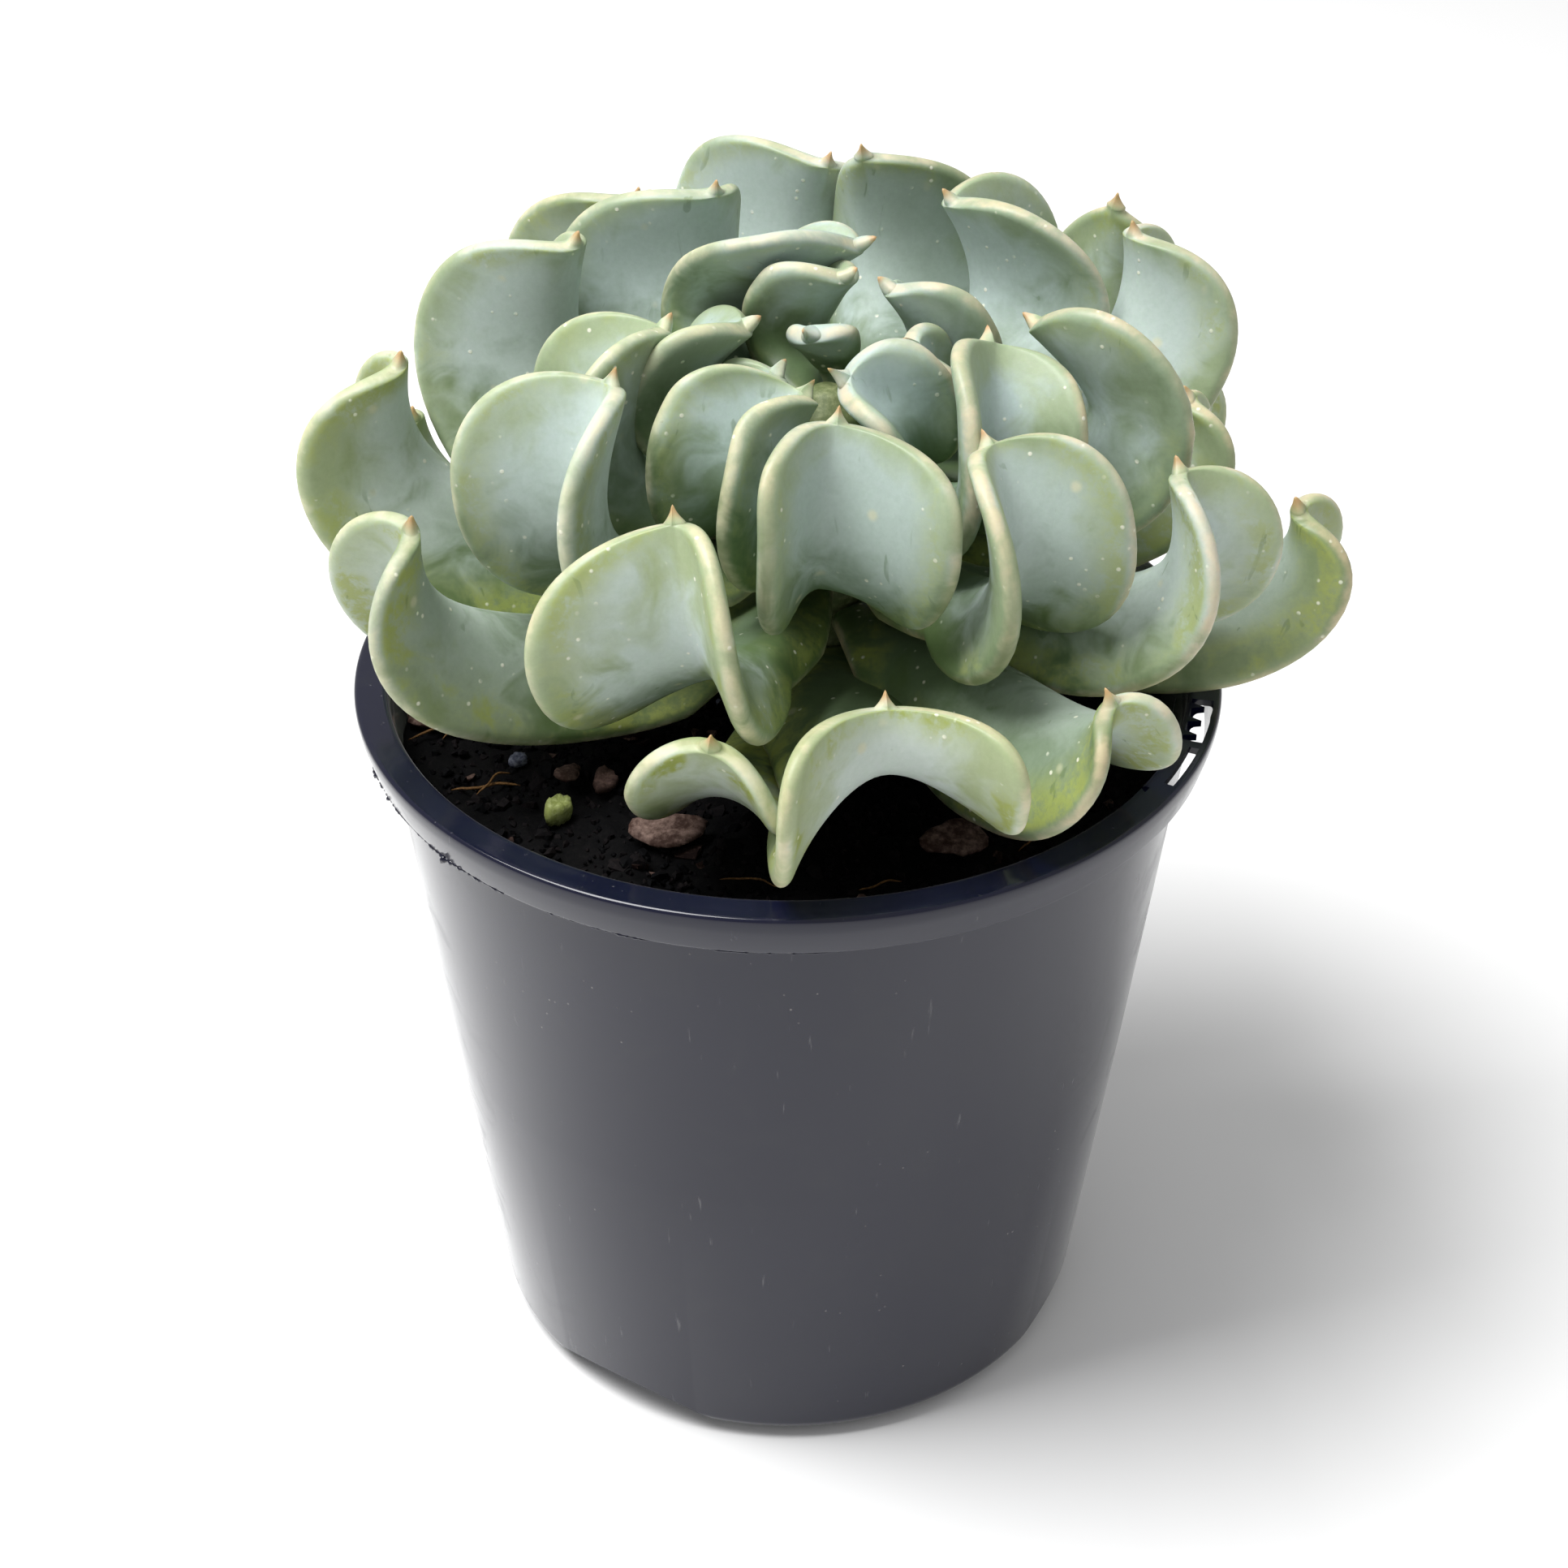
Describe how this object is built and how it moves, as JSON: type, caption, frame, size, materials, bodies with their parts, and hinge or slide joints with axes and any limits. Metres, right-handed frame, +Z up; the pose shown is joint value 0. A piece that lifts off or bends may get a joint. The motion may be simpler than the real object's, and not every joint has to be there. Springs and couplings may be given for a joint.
{
  "type": "potted succulent",
  "caption": "Potted succulent: a dense rosette of thick curled blue-green leaves on a short stem, in dark potting mix in a round black plastic nursery pot.",
  "frame": {"origin": "centre of the pot's flat underside, on the pot's axis, where it stands", "axes": "+Z up along the pot's axis, -Y towards the viewer of the front, +X to the right"},
  "size_m": [0.1597, 0.1664, 0.194],
  "materials": {
    "pot_plastic": "glossy near-black injection-moulded plastic with fine scratches",
    "potting_mix": "damp dark peat and bark mix, rough and matt",
    "stem": "dull woody green stem",
    "leaf": "powdery blue-green waxy bloom with pale cream edges"
  },
  "bodies": {
    "root": {"pot": "pot_plastic", "soil": "potting_mix", "stem": "stem", "leaf_01": "leaf", "leaf_02": "leaf", "leaf_03": "leaf", "leaf_04": "leaf", "leaf_05": "leaf", "leaf_06": "leaf", "leaf_07": "leaf", "leaf_08": "leaf", "leaf_09": "leaf", "leaf_10": "leaf", "leaf_11": "leaf", "leaf_12": "leaf", "leaf_13": "leaf", "leaf_14": "leaf", "leaf_15": "leaf", "leaf_16": "leaf", "leaf_17": "leaf", "leaf_18": "leaf", "leaf_19": "leaf", "leaf_20": "leaf", "leaf_21": "leaf", "leaf_22": "leaf", "leaf_23": "leaf", "leaf_24": "leaf", "leaf_25": "leaf", "leaf_26": "leaf", "leaf_27": "leaf", "leaf_28": "leaf", "leaf_29": "leaf", "leaf_30": "leaf", "leaf_31": "leaf", "leaf_32": "leaf", "leaf_33": "leaf", "leaf_34": "leaf", "leaf_35": "leaf", "leaf_36": "leaf", "leaf_37": "leaf"}
  },
  "joints": []
}
